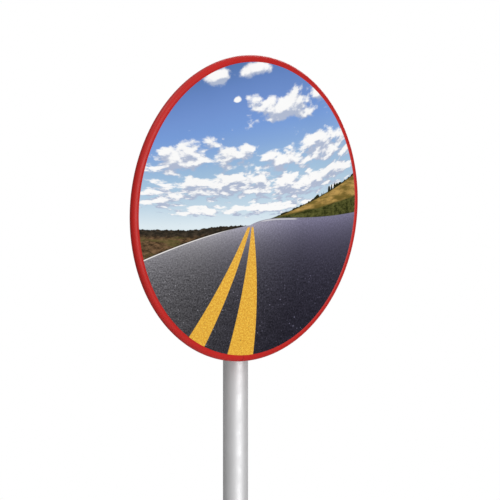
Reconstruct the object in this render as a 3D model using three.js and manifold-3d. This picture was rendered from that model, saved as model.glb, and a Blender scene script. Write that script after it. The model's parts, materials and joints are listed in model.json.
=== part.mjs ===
// A round convex road mirror on a post: mirror head, tilt yoke, swivel arm, post clamp and footed post.
import * as THREE from "three";
import { mergeVertices } from "three/addons/utils/BufferGeometryUtils.js";
import Module from "manifold-3d";

const wasm = await Module();
wasm.setup();

// Sizes are in millimetres. Z is up, the post's foot is on Z = 0, and the mirror faces -Y.
const gap = 0.3; // room between pieces that touch
const ringSteps = 60; // facets round the mirror head
const postSteps = 48; // facets round the post and its clamp
const boltSteps = 16; // facets round a bolt or a bolt hole

// Mirror head. Depths are counted backwards from the plane through the edge bead's middle.
const mirrorRadius = 300;
const beadRadius = 9;
const beadCircle = mirrorRadius - beadRadius;
const lensSphere = 1400; // radius of the mirror's curve
const lensThickness = 3;
const lensEdge = 293.5; // the lens runs this far out, inside the bead's slot
const lipRadius = 287.4; // where the bead's front lip meets the lens
const slotFloor = 294.2;
const flangeDepth = -0.7; // back face of the shell's flange
const shellThickness = 2.5;
const shellNeck = 281.3;
const shellRimDepth = 10; // where the back's curve would meet the neck
const crownRadii = [112, 165, 220, 268]; // from the mounting pad's edge out to the shoulder
const neckRound = 3; // the shoulder turns into the neck over this width
const neckRoundDepth = 6.5;
const innerNeckRound = 5.5;
const innerNeckDepth = 4.8;
const padRadius = crownRadii[0];
const padDepth = 20;
const drainRadius = 3;
const drainSpacing = 60;
const drainDrop = 235; // drain holes below the middle of the shell
const trimJoint = 0.8; // butt joint of the edge trim
const lensRings = 6;
const beadStep = 20; // degrees between the corners of the bead's section
const mirrorTilt = 4.5; // degrees, downwards

// Brackets
const tiltDepth = 52; // tilt axis
const swivelDepth = 66; // swivel axis
const plateThickness = 5;
const bracketWidth = 180;
const bracketHeight = 120;
const bracketBoltX = 75;
const bracketBoltZ = 45;
const yokeHalfWidth = 33;
const yokeHalfHeight = 30;
const earInner = yokeHalfWidth + 0.5;
const earOuter = earInner + plateThickness;
const tiltEarRadius = 12;
const swivelEarRadius = 15;
const bracketCorner = 8;
const bracketEarRoot = 26; // half of an ear's width at the plate
const swivelLugRoot = 24; // half of a lug's width at the web
const webAheadOfTilt = 11; // the yoke's web stands this far ahead of the tilt axis
const weldOverlap = 2; // welded plates run into each other this far
const bracketBoltLength = 20;
const swivelBoltTail = 16; // swivel bolt beyond the lower washer
const tiltBoltEnd = 17.5; // tilt bolts end this far from the middle

// Backing plate
const backingWidth = 170;
const backingHeight = 110;
const backingCorner = 10;
const backingThickness = 3;

// Arm and clamp
const armLength = 120; // post axis to swivel axis
const armTurn = -52.1; // degrees about Z, from facing -Y
const armWidth = 20;
const armHeight = 40;
const armWall = 2.5;
const barrelRadius = 13;
const clampHeight = 1600; // clamp middle above the ground
const clampHalf = 40;
const linerInner = 25.7;
const linerOuter = 28.2;
const linerHalf = 42;
const linerSlit = 3;
const clampInner = linerOuter + gap;
const clampOuter = clampInner + 5;
const clampEarTip = 62;
const clampSplit = 1.5; // half of the slot between the clamp halves
const clampBoltX = 48;
const clampBoltZ = 22;
const clampBoltLength = 27;
const strutDrop = clampHalf - 2; // gusset under the arm, down the clamp
const strutReach = 44; // gusset under the arm, along it
const strutToe = 4;
const barrelSteps = 24;

// Post
const postRadius = 25.4;
const postWall = 2.5;
const postTop = 1700;
const baseSize = 200;
const baseThickness = 10;
const baseCorner = 12;
const anchorSpacing = 150;
const anchorHoleRadius = 9;
const gussetThickness = 6;
const gussetReach = 88; // from the post's axis
const gussetTop = 95;
const gussetToe = 10;
const capPlugDepth = 18;
const capRise = 12;
const capWall = 2;

// Fasteners: shank radius, width across flats, head height, nut height, washer radius and thickness
const m8 = { shank: 4, flats: 13, head: 5.3, nut: 6.5, washer: 8, washerThickness: 1.6 };
const m10 = { shank: 5, flats: 16, head: 6.4, nut: 8, washer: 10, washerThickness: 2 };
const m12 = { shank: 6, flats: 18, head: 7.5, nut: 10.5, washer: 12, washerThickness: 2.5 };
const clampFlange = 10.5; // radius of the flange on a clamp bolt or nut
const collarHeight = 1.5; // round foot of a bolt head or nut
const collarWidth = 1; // beyond the shank, where there is no flange
const collarSteps = 20;
const headLift = 1; // a flanged head starts this far up its flange

const finishes = {
  mirror: { color: 0xd6dce2, roughness: 0.03, metalness: 1 },
  redEdge: { color: 0xc92a24, roughness: 0.35, metalness: 0 },
  redShell: { color: 0xb82720, roughness: 0.45, metalness: 0 },
  greyPaint: { color: 0xc4c5c8, roughness: 0.4, metalness: 0 },
  zinc: { color: 0xb9bcc0, roughness: 0.35, metalness: 1 },
  rubber: { color: 0x1c1c1e, roughness: 0.85, metalness: 0 },
  blackPlastic: { color: 0x232427, roughness: 0.5, metalness: 0 },
};

const radians = THREE.MathUtils.degToRad;

// Solids: a closed mesh goes to the boolean library and comes back as a geometry.
function toSolid(geometry) {
  const bare = geometry.clone();
  bare.deleteAttribute("normal");
  bare.deleteAttribute("uv");
  const merged = mergeVertices(bare, 1e-4);
  const corners = merged.index.array;
  const kept = [];
  for (let i = 0; i < corners.length; i += 3) {
    const [a, b, c] = corners.subarray(i, i + 3);
    if (a !== b && b !== c && c !== a) kept.push(a, b, c);
  }
  return new wasm.Manifold(new wasm.Mesh({
    numProp: 3,
    vertProperties: new Float32Array(merged.attributes.position.array),
    triVerts: new Uint32Array(kept),
  }));
}

function toGeometry(solid) {
  const mesh = solid.getMesh();
  const geometry = new THREE.BufferGeometry();
  geometry.setAttribute("position", new THREE.BufferAttribute(mesh.vertProperties, 3));
  geometry.setIndex(new THREE.BufferAttribute(mesh.triVerts, 1));
  return geometry;
}

function cut(base, tools) {
  return toGeometry(tools.reduce((solid, tool) => solid.subtract(toSolid(tool)), toSolid(base)));
}

function join(first, others) {
  return toGeometry(others.reduce((solid, other) => solid.add(toSolid(other)), toSolid(first)));
}

// Plain shapes
function block(width, depth, height, x = 0, y = 0, z = 0) {
  return new THREE.BoxGeometry(width, depth, height).translate(x, y, z);
}

function rodAlongZ(radius, length, steps = boltSteps) {
  return new THREE.CylinderGeometry(radius, radius, length, steps).rotateX(Math.PI / 2);
}

function rodAlongY(radius, length, steps = boltSteps) {
  return new THREE.CylinderGeometry(radius, radius, length, steps);
}

function rodAlongX(radius, length, steps = boltSteps) {
  return new THREE.CylinderGeometry(radius, radius, length, steps).rotateZ(Math.PI / 2);
}

// A profile of [radius, height] pairs, anticlockwise, turned round Y.
function turned(profile, steps) {
  const closed = [...profile, profile[0]].map(([radius, height]) => new THREE.Vector2(radius, height));
  return new THREE.LatheGeometry(closed, steps);
}

// A turned profile stood upright on Z.
function turnedOnZ(profile, steps) {
  return turned(profile, steps).rotateX(Math.PI / 2);
}

function outline(points) {
  return new THREE.Shape(points.map(([x, y]) => new THREE.Vector2(x, y)));
}

function extruded(shape, depth, curveSegments = 6) {
  return new THREE.ExtrudeGeometry(shape, { depth, bevelEnabled: false, curveSegments });
}

function roundedRectangle(width, height, corner) {
  const shape = new THREE.Shape();
  const x = width / 2 - corner;
  const y = height / 2 - corner;
  shape.absarc(x, y, corner, 0, Math.PI / 2);
  shape.absarc(-x, y, corner, Math.PI / 2, Math.PI);
  shape.absarc(-x, -y, corner, Math.PI, Math.PI * 1.5);
  shape.absarc(x, -y, corner, Math.PI * 1.5, Math.PI * 2);
  return shape;
}

// A lug that narrows from a straight edge at y = -reach to a round end about the origin.
function lugShape(halfRoot, reach, endRadius) {
  const shape = new THREE.Shape();
  shape.moveTo(-halfRoot, -reach);
  shape.lineTo(halfRoot, -reach);
  shape.absarc(0, 0, endRadius, 0, Math.PI);
  shape.closePath();
  return shape;
}

function round(radius, hole = false) {
  const path = hole ? new THREE.Path() : new THREE.Shape();
  path.absarc(0, 0, radius, 0, Math.PI * 2);
  return path;
}

function hexagon(flats) {
  const corner = flats / Math.sqrt(3);
  return outline(Array.from({ length: 6 }, (_, i) => {
    const angle = radians(60 * i);
    return [corner * Math.cos(angle), corner * Math.sin(angle)];
  }));
}

// Fasteners stand on Z with the face that bears on the work at z = 0.
function collar(size, flange) {
  const radius = flange || size.shank + collarWidth;
  return rodAlongZ(radius, collarHeight, collarSteps).translate(0, 0, collarHeight / 2);
}

function hexBolt(size, length, flange = 0) {
  const head = extruded(hexagon(size.flats), size.head).translate(0, 0, flange ? headLift : 0);
  const shank = rodAlongZ(size.shank, length + headLift).translate(0, 0, (headLift - length) / 2);
  return join(head, [shank, collar(size, flange)]);
}

function hexNut(size, flange = 0) {
  const body = extruded(hexagon(size.flats), size.nut);
  return cut(join(body, [collar(size, flange)]), [rodAlongZ(size.shank + gap, 4 * size.nut)]);
}

function washer(size) {
  const shape = round(size.washer);
  shape.holes.push(round(size.shank + gap, true));
  return extruded(shape, size.washerThickness, boltSteps / 2);
}

// Mirror head, about the middle of the edge bead's plane, facing -Y
function lensFront(radius) {
  const dome = (r) => Math.sqrt(lensSphere ** 2 - r ** 2);
  const lipFront = Math.sqrt(beadRadius ** 2 - (beadCircle - lipRadius) ** 2) - gap;
  return lipFront + dome(radius) - dome(lipRadius);
}

function mirrorLens() {
  const radiusAt = (i) => (lensEdge * i) / lensRings;
  const front = Array.from({ length: lensRings + 1 }, (_, i) => [radiusAt(i), -lensFront(radiusAt(i))]);
  const back = front.map(([radius, depth]) => [radius, depth + lensThickness]);
  return turned([...front, ...back.toReversed()], ringSteps);
}

// The bead is a round section slotted from the inside, with a fine butt joint at the bottom.
function edgeTrim() {
  const slotBack = flangeDepth + gap;
  const lipAngle = -Math.PI / 2 - Math.asin((beadCircle - lipRadius) / beadRadius);
  const rearAngle = Math.PI - Math.asin(slotBack / beadRadius);
  const step = radians(beadStep);
  const angles = [lipAngle];
  for (let i = -5; i * step < rearAngle - step / 4; i += 1) angles.push(i * step);
  angles.push(rearAngle);
  const section = angles.map((angle) => [
    beadCircle + beadRadius * Math.cos(angle),
    beadRadius * Math.sin(angle),
  ]);
  section.push([slotFloor, slotBack], [slotFloor, -lensFront(slotFloor) - gap]);
  const joint = block(trimJoint, 4 * beadRadius, 4 * beadRadius, 0, 0, -beadCircle);
  return cut(turned(section, ringSteps), [joint]);
}

function shellBack(radius) {
  const along = (radius - padRadius) / (shellNeck - padRadius);
  return padDepth - (padDepth - shellRimDepth) * along ** 2;
}

function backShell() {
  const outer = [
    [0, padDepth],
    ...crownRadii.map((radius) => [radius, shellBack(radius)]),
    [shellNeck - neckRound, neckRoundDepth],
    [shellNeck, flangeDepth + 2],
    [shellNeck, flangeDepth],
    [lensEdge, flangeDepth],
  ];
  const inner = [
    [lensEdge, flangeDepth - shellThickness],
    [shellNeck - 1, flangeDepth - shellThickness],
    [shellNeck - neckRound, flangeDepth],
    [shellNeck - innerNeckRound, innerNeckDepth],
    ...crownRadii.toReversed().map((radius) => [radius - 1, shellBack(radius) - shellThickness]),
    [0, padDepth - shellThickness],
  ];
  const dish = turned([...outer, ...inner].toReversed(), ringSteps);
  const holes = bracketHoles(m8.shank + gap);
  const drains = [-drainSpacing, 0, drainSpacing].map((x) => {
    const drill = rodAlongY(drainRadius, 4 * padDepth, boltSteps / 2);
    return drill.translate(x, 0, -drainDrop);
  });
  return cut(dish, [...holes, ...drains]);
}

function bracketHoles(radius) {
  return bracketCorners().map(([x, z]) => rodAlongY(radius, bracketWidth).translate(x, 0, z));
}

function bracketCorners() {
  return [[1, 1], [-1, 1], [-1, -1], [1, -1]].map(([x, z]) => [x * bracketBoltX, z * bracketBoltZ]);
}

// Plate behind the lens that the bracket bolts screw into, with a weld nut at each corner
function backingPlate() {
  const rearFace = padDepth - shellThickness - gap;
  const sheet = extruded(roundedRectangle(backingWidth, backingHeight, backingCorner), backingThickness)
    .rotateX(Math.PI / 2)
    .translate(0, rearFace, 0);
  const nuts = bracketCorners().map(([x, z]) => extruded(hexagon(m8.flats), m8.nut + weldOverlap / 2)
    .rotateX(Math.PI / 2)
    .translate(x, rearFace - backingThickness + weldOverlap / 2, z));
  return cut(join(sheet, nuts), bracketHoles(m8.shank + gap));
}

function mirrorBracket() {
  const front = padDepth + gap;
  const sheet = extruded(roundedRectangle(bracketWidth, bracketHeight, bracketCorner), plateThickness)
    .rotateX(-Math.PI / 2)
    .translate(0, front, 0);
  const earShape = lugShape(bracketEarRoot, tiltDepth - front - weldOverlap, tiltEarRadius);
  const ears = [-earOuter, earInner].map((x) => extruded(earShape, plateThickness)
    .rotateY(-Math.PI / 2)
    .translate(x + plateThickness, tiltDepth, 0));
  const tiltHole = rodAlongX(m10.shank + gap, 4 * earOuter).translate(0, tiltDepth, 0);
  return cut(join(sheet, ears), [tiltHole, ...bracketHoles(m8.shank + gap)]);
}

// Yoke, about the swivel axis. The tilt axis is ahead of it.
function yokePlate() {
  const tiltAhead = swivelDepth - tiltDepth;
  const webRear = tiltAhead + webAheadOfTilt;
  const webFront = webRear + plateThickness;
  const web = block(2 * yokeHalfWidth, plateThickness, 2 * yokeHalfHeight, 0, -(webFront + webRear) / 2, 0);
  const lugReach = webRear + weldOverlap;
  const lugOutline = lugShape(swivelLugRoot, lugReach, swivelEarRadius);
  const lug = (z) => extruded(lugOutline, plateThickness).translate(0, 0, z);
  const flangeShape = lugShape(yokeHalfHeight, lugReach - tiltAhead, tiltEarRadius);
  const flange = (x) => extruded(flangeShape, plateThickness)
    .rotateY(-Math.PI / 2)
    .translate(x + plateThickness, -tiltAhead, 0);
  const lugs = [lug(yokeHalfHeight - plateThickness), lug(-yokeHalfHeight)];
  const flanges = [flange(yokeHalfWidth - plateThickness), flange(-yokeHalfWidth)];
  const swivelHole = rodAlongZ(m12.shank + gap, 4 * yokeHalfHeight);
  const tiltHole = rodAlongX(m10.shank + gap, 4 * yokeHalfWidth).translate(0, -tiltAhead, 0);
  return cut(join(web, [...lugs, ...flanges]), [swivelHole, tiltHole]);
}

// Arm and clamp, about the post's axis at the clamp's middle, reaching along -Y
function swivelArm() {
  const start = clampInner - weldOverlap;
  const end = armLength - barrelRadius / 4;
  const middle = -(start + end) / 2;
  const outside = block(armWidth, end - start, armHeight, 0, middle, 0);
  const inside = block(armWidth - 2 * armWall, 2 * armLength, armHeight - 2 * armWall, 0, middle, 0);
  const clampRound = rodAlongZ(clampOuter + gap, 2 * armHeight, postSteps);
  const barrelRound = rodAlongZ(barrelRadius + gap, 2 * armHeight, barrelSteps).translate(0, -armLength, 0);
  return cut(outside, [inside, clampRound, barrelRound]);
}

function armGusset() {
  const root = -clampOuter - gap;
  const top = -armHeight / 2 - gap;
  const side = outline([
    [root, top],
    [root, -strutDrop],
    [root - strutToe, -strutDrop],
    [root - strutReach, top],
  ]);
  return extruded(side, plateThickness)
    .rotateX(Math.PI / 2)
    .rotateZ(Math.PI / 2)
    .translate(-plateThickness / 2, 0, 0);
}

function swivelBarrel() {
  const half = yokeHalfHeight - plateThickness - gap;
  return turnedOnZ([
    [m12.shank + gap, -half],
    [barrelRadius, -half],
    [barrelRadius, half],
    [m12.shank + gap, half],
  ], barrelSteps);
}

// One half of the clamp: a half round with a flat ear each side, drilled for the bolts
function clampHalfShell() {
  const earBack = clampSplit + plateThickness;
  const outerAngle = Math.asin(earBack / clampOuter);
  const innerAngle = Math.asin(clampSplit / clampInner);
  const shape = new THREE.Shape();
  shape.moveTo(clampEarTip, -clampSplit);
  shape.absarc(0, 0, clampInner, -innerAngle, Math.PI + innerAngle, true);
  shape.lineTo(-clampEarTip, -clampSplit);
  shape.lineTo(-clampEarTip, -earBack);
  shape.absarc(0, 0, clampOuter, Math.PI + outerAngle, -outerAngle, false);
  shape.lineTo(clampEarTip, -earBack);
  shape.closePath();
  const shell = extruded(shape, 2 * clampHalf, postSteps / 2).translate(0, 0, -clampHalf);
  const holes = clampCorners().map(([x, z]) => rodAlongY(m10.shank + gap, clampEarTip).translate(x, 0, z));
  return cut(shell, holes);
}

function clampCorners() {
  return [[1, 1], [-1, 1], [-1, -1], [1, -1]].map(([x, z]) => [x * clampBoltX, z * clampBoltZ]);
}

function clampLiner() {
  const sleeve = turnedOnZ([
    [linerInner, -linerHalf],
    [linerOuter, -linerHalf],
    [linerOuter, linerHalf],
    [linerInner, linerHalf],
  ], postSteps);
  return cut(sleeve, [block(linerSlit, 2 * linerOuter, 4 * linerHalf, 0, linerOuter, 0)]);
}

// Post
function postTube() {
  return turnedOnZ([
    [postRadius - postWall, baseThickness + gap],
    [postRadius, baseThickness + gap],
    [postRadius, postTop],
    [postRadius - postWall, postTop],
  ], postSteps);
}

function postCap() {
  const plug = postRadius - postWall - gap;
  return turnedOnZ([
    [plug - capWall, postTop - capPlugDepth],
    [plug, postTop - capPlugDepth],
    [plug, postTop + gap],
    [postRadius, postTop + gap],
    [postRadius, postTop + capRise / 3],
    [postRadius - capRise / 3, postTop + capRise - 2 * capWall],
    [postRadius / 2, postTop + capRise - 1],
    [0, postTop + capRise],
    [0, postTop + capRise - 2 * capWall],
    [plug - 4 * capWall, postTop + capRise - 2 * capWall - 1],
    [plug - capWall, postTop + capRise / 4],
  ], postSteps / 2);
}

function basePlate() {
  const shape = roundedRectangle(baseSize, baseSize, baseCorner);
  for (const [x, y] of [[1, 1], [-1, 1], [-1, -1], [1, -1]]) {
    const hole = new THREE.Path();
    hole.absarc((x * anchorSpacing) / 2, (y * anchorSpacing) / 2, anchorHoleRadius, 0, Math.PI * 2);
    shape.holes.push(hole);
  }
  return extruded(shape, baseThickness, 8);
}

function baseGusset() {
  const root = postRadius + gap;
  const foot = baseThickness + gap;
  const side = outline([
    [root, foot],
    [gussetReach, foot],
    [gussetReach, foot + gussetToe],
    [root + gussetToe, gussetTop],
    [root, gussetTop],
  ]);
  return extruded(side, gussetThickness)
    .translate(0, 0, -gussetThickness / 2)
    .rotateX(Math.PI / 2);
}

// Assembly
function piece(name, finish, geometry, parent) {
  const mesh = new THREE.Mesh(geometry, new THREE.MeshStandardMaterial(finish));
  mesh.name = name;
  parent.add(mesh);
  return mesh;
}

const assembly = new THREE.Group();

function addPost() {
  piece("base_plate", finishes.greyPaint, basePlate(), assembly);
  for (let i = 0; i < 4; i += 1) {
    const gusset = piece(`gusset_${i + 1}`, finishes.greyPaint, baseGusset(), assembly);
    gusset.rotation.z = (i * Math.PI) / 2;
  }
  piece("post_tube", finishes.greyPaint, postTube(), assembly);
  piece("post_cap", finishes.blackPlastic, postCap(), assembly);
}

function addClampAndArm() {
  const clamp = new THREE.Group();
  clamp.position.z = clampHeight;
  clamp.rotation.z = radians(armTurn);
  assembly.add(clamp);
  piece("clamp_liner", finishes.rubber, clampLiner(), clamp);
  piece("clamp_front", finishes.greyPaint, clampHalfShell(), clamp);
  const rear = piece("clamp_rear", finishes.greyPaint, clampHalfShell(), clamp);
  rear.rotation.z = Math.PI;
  const bearing = clampSplit + plateThickness + gap;
  clampCorners().forEach(([x, z], i) => {
    const screw = hexBolt(m10, clampBoltLength, clampFlange);
    const bolt = piece(`clamp_bolt_${i + 1}`, finishes.zinc, screw, clamp);
    bolt.position.set(x, -bearing, z);
    bolt.rotation.x = Math.PI / 2;
    const nut = piece(`clamp_nut_${i + 1}`, finishes.zinc, hexNut(m10, clampFlange), clamp);
    nut.position.set(x, bearing, z);
    nut.rotation.x = -Math.PI / 2;
  });
  piece("swivel_arm", finishes.greyPaint, swivelArm(), clamp);
  piece("arm_gusset", finishes.greyPaint, armGusset(), clamp);
  const barrel = piece("swivel_barrel", finishes.greyPaint, swivelBarrel(), clamp);
  barrel.position.y = -armLength;
}

function swivelPoint() {
  const angle = radians(armTurn);
  return new THREE.Vector3(armLength * Math.sin(angle), -armLength * Math.cos(angle), clampHeight);
}

function addYoke() {
  const yoke = new THREE.Group();
  yoke.position.copy(swivelPoint());
  assembly.add(yoke);
  piece("yoke", finishes.greyPaint, yokePlate(), yoke);
  const lugFace = yokeHalfHeight + gap;
  piece("swivel_washer_top", finishes.zinc, washer(m12), yoke).position.z = lugFace;
  const lower = piece("swivel_washer_bottom", finishes.zinc, washer(m12), yoke);
  lower.position.z = -lugFace - m12.washerThickness;
  const seat = lugFace + m12.washerThickness + gap;
  const bolt = piece("swivel_bolt", finishes.zinc, hexBolt(m12, 2 * seat + swivelBoltTail), yoke);
  bolt.position.z = seat;
  const nut = piece("swivel_nut", finishes.zinc, hexNut(m12), yoke);
  nut.position.z = -seat;
  nut.rotation.x = Math.PI;
  for (const [side, way] of [["left", -1], ["right", 1]]) {
    addTiltFasteners(yoke, side, way);
  }
}

function addTiltFasteners(yoke, side, way) {
  const ahead = tiltDepth - swivelDepth;
  const outward = (way * Math.PI) / 2;
  const washerFace = earOuter + gap;
  const headFace = washerFace + m10.washerThickness + gap;
  const nutFace = yokeHalfWidth - plateThickness - gap;
  const disc = piece(`tilt_washer_${side}`, finishes.zinc, washer(m10), yoke);
  disc.position.set(way * washerFace, ahead, 0);
  disc.rotation.y = outward;
  const bolt = piece(`tilt_bolt_${side}`, finishes.zinc, hexBolt(m10, headFace - tiltBoltEnd), yoke);
  bolt.position.set(way * headFace, ahead, 0);
  bolt.rotation.y = outward;
  const nut = piece(`tilt_nut_${side}`, finishes.zinc, hexNut(m10), yoke);
  nut.position.set(way * nutFace, ahead, 0);
  nut.rotation.y = -outward;
}

function addHead() {
  const tilting = new THREE.Group();
  tilting.position.copy(swivelPoint());
  tilting.position.y -= swivelDepth - tiltDepth;
  tilting.rotation.x = radians(mirrorTilt);
  assembly.add(tilting);
  const head = new THREE.Group();
  head.position.y = -tiltDepth;
  tilting.add(head);
  piece("mirror_lens", finishes.mirror, mirrorLens(), head);
  piece("edge_trim", finishes.redEdge, edgeTrim(), head);
  piece("back_shell", finishes.redShell, backShell(), head);
  piece("backing_plate", finishes.zinc, backingPlate(), head);
  piece("mirror_bracket", finishes.greyPaint, mirrorBracket(), head);
  const washerFace = padDepth + plateThickness + 2 * gap;
  bracketCorners().forEach(([x, z], i) => {
    const disc = piece(`bracket_washer_${i + 1}`, finishes.zinc, washer(m8), head);
    disc.position.set(x, washerFace, z);
    disc.rotation.x = -Math.PI / 2;
    const bolt = piece(`bracket_bolt_${i + 1}`, finishes.zinc, hexBolt(m8, bracketBoltLength), head);
    bolt.position.set(x, washerFace + m8.washerThickness + gap, z);
    bolt.rotation.x = -Math.PI / 2;
  });
}

addPost();
addClampAndArm();
addYoke();
addHead();

export default assembly;
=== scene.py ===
import json
import math

import bmesh
import bpy
from mathutils import Matrix, Vector
from mathutils.geometry import tessellate_polygon

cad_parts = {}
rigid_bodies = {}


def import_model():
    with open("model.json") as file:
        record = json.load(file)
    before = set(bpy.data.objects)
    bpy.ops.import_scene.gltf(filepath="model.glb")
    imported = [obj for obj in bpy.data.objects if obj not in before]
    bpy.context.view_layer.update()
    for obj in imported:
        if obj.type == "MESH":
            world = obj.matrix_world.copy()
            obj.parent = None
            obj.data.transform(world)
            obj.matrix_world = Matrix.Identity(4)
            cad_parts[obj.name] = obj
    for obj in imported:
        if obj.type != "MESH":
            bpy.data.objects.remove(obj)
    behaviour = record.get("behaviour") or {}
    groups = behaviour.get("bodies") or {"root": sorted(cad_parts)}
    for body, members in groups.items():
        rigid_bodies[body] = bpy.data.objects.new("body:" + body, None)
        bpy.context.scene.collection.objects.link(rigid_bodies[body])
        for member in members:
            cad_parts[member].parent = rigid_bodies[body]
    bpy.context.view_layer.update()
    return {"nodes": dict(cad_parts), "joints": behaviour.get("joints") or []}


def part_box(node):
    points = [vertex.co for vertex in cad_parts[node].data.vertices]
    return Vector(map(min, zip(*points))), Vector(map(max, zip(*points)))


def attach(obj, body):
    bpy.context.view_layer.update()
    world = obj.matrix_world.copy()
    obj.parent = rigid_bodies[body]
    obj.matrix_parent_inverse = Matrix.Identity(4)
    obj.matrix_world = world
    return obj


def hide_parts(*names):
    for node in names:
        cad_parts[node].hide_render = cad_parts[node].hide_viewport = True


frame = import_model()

print("stage: frame loaded")

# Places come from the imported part. Inside a place, sizes are in millimetres.
mm = 0.001
upright = Vector((0, 0, 1))
jointSpots = {joint["name"]: Vector(joint.get("pos_m", (0, 0, 0))) for joint in frame["joints"]}


def middle(node):
    low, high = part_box(node)
    return (low + high) / 2


def placeAt(origin, front, up):
    back = -front.normalized()
    turn = Matrix((back.cross(up).normalized(), back, up.normalized())).transposed().to_4x4()
    return Matrix.Translation(origin) @ turn @ Matrix.Scale(mm, 4)


armDirection = jointSpots["swivel_pan"] - jointSpots["clamp_turn"]
armReach = armDirection.length / mm
headUp = (middle("bracket_washer_1") - middle("bracket_washer_4")).normalized()
headFront = Vector((1, 0, 0)).cross(headUp)
headDepths = {"tiltAxis": 52, "pad": 20, "plate": 5}  # behind the middle plane of the edge bead

postPlace = Matrix.Scale(mm, 4)
armPlace = placeAt(jointSpots["clamp_turn"], armDirection, upright)
yokePlace = placeAt(jointSpots["swivel_pan"], Vector((0, -1, 0)), upright)
headOrigin = jointSpots["mirror_tilt"] + headFront * headDepths["tiltAxis"] * mm
headPlace = placeAt(headOrigin, headFront, headUp)
toFront = Matrix.Rotation(math.radians(90), 4, "X")  # local Z to the front
toBack = Matrix.Rotation(math.radians(-90), 4, "X")  # local Z to the back
fourCorners = ((1, 1), (-1, 1), (-1, -1), (1, -1))


# Outlines
def softened(points, radius, closed=True, steps=3):
    # rounds each real corner, and leaves the shallow ones that belong to an arc
    count = len(points)
    result = []
    for i, spot in enumerate(points):
        here = Vector(spot)
        if not closed and i in (0, count - 1):
            result.append(tuple(here))
            continue
        before = Vector(points[i - 1]) - here
        after = Vector(points[(i + 1) % count]) - here
        if before.length < 1e-6 or after.length < 1e-6 or before.angle(after) > math.radians(158):
            result.append(tuple(here))
            continue
        trim = min(radius, before.length * 0.45, after.length * 0.45)
        start = here + before.normalized() * trim
        end = here + after.normalized() * trim
        for j in range(steps + 1):
            t = j / steps
            result.append(tuple(start * (1 - t) ** 2 + here * 2 * t * (1 - t) + end * t * t))
    return result


def arc(radius, start, end, steps, centre=(0, 0)):
    angles = [math.radians(start + (end - start) * i / steps) for i in range(steps + 1)]
    return [(centre[0] + radius * math.cos(a), centre[1] + radius * math.sin(a)) for a in angles]


def circleOutline(radius, centre=(0, 0), steps=40):
    return arc(radius, 0, 360, steps, centre)[:-1]


def rectangle(width, height, corner):
    x, y = width / 2, height / 2
    return softened([(x, -y), (x, y), (-x, y), (-x, -y)], corner, steps=6)


# Meshes
def link(name, mesh):
    piece = bpy.data.objects.new(name, mesh)
    bpy.context.scene.collection.objects.link(piece)
    return piece


def shade(mesh, sharpAngle=32):
    mesh.shade_smooth()
    mesh.set_sharp_from_angle(angle=math.radians(sharpAngle))


def solid(name, vertices, faces, place):
    mesh = bpy.data.meshes.new(name)
    mesh.from_pydata(vertices, [], faces)
    work = bmesh.new()
    work.from_mesh(mesh)
    bmesh.ops.remove_doubles(work, verts=work.verts, dist=1e-4)
    bmesh.ops.recalc_face_normals(work, faces=work.faces)
    if work.calc_volume(signed=True) < 0:
        bmesh.ops.reverse_faces(work, faces=work.faces)
    work.to_mesh(mesh)
    work.free()
    mesh.transform(place)
    shade(mesh)
    return link(name, mesh)


def ringed(name, rings, place, steps=96, loop=False):
    # each ring is a function of the angle that gives a radius and a height
    vertices = []
    for ring in rings:
        for i in range(steps):
            angle = 2 * math.pi * i / steps
            radius, height = ring(angle)
            vertices.append((radius * math.cos(angle), radius * math.sin(angle), height))
    faces = []
    for j in range(len(rings) if loop else len(rings) - 1):
        low = j * steps
        high = ((j + 1) % len(rings)) * steps
        for i in range(steps):
            k = (i + 1) % steps
            faces.append((low + i, low + k, high + k, high + i))
    return solid(name, vertices, faces, place)


def turned(name, profile, place, steps=96, loop=True):
    rings = [lambda angle, radius=r, height=h: (radius, height) for r, h in profile]
    return ringed(name, rings, place, steps, loop)


def sheet(name, outline, holes, thickness, place, edge=0.5):
    # a flat plate drawn in X and Y, from z = 0 up, with its edges rounded
    loops = [list(outline)] + [list(hole) for hole in holes]
    flat = [Vector((x, y, 0)) for loop in loops for x, y in loop]
    count = len(flat)
    vertices = [tuple(v) for v in flat] + [(v.x, v.y, thickness) for v in flat]
    triangles = tessellate_polygon([[Vector((x, y, 0)) for x, y in loop] for loop in loops])
    faces = [tuple(t) for t in triangles] + [tuple(i + count for i in reversed(t)) for t in triangles]
    start = 0
    for loop in loops:
        for i in range(len(loop)):
            a, b = start + i, start + (i + 1) % len(loop)
            faces.append((a, b, b + count, a + count))
        start += len(loop)
    piece = solid(name, vertices, faces, place)
    return eased(piece, edge)


def settled(piece):
    # the mesh as its modifiers leave it, with no modifier on it
    bpy.context.view_layer.update()
    evaluated = piece.evaluated_get(bpy.context.evaluated_depsgraph_get())
    mesh = bpy.data.meshes.new_from_object(evaluated)
    mesh.name = piece.name
    piece.modifiers.clear()
    piece.data = mesh
    return piece


def eased(piece, edge):
    if edge:
        bevel = piece.modifiers.new("edges", "BEVEL")
        bevel.width = edge * mm
        bevel.segments = 2
        bevel.limit_method = "ANGLE"
        bevel.angle_limit = math.radians(50)
        bevel.use_clamp_overlap = True
        settled(piece)
        shade(piece.data)
    return piece


def combined(piece, others, operation):
    for other in others:
        cutter = piece.modifiers.new("part", "BOOLEAN")
        cutter.operation = operation
        cutter.solver = "EXACT"
        cutter.object = other
        settled(piece)
        bpy.data.objects.remove(other)
    shade(piece.data)
    return piece


def rod(radius, low, high, place, steps=64):
    return turned("rod", [(0, low), (radius, low), (radius, high), (0, high)], place, steps, False)


def hand(piece, body, slot, finish, *nodes):
    piece.data.materials.clear()
    piece.data.materials.append(finish)
    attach(piece, body)
    if nodes:
        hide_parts(*nodes)
    return piece


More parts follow.
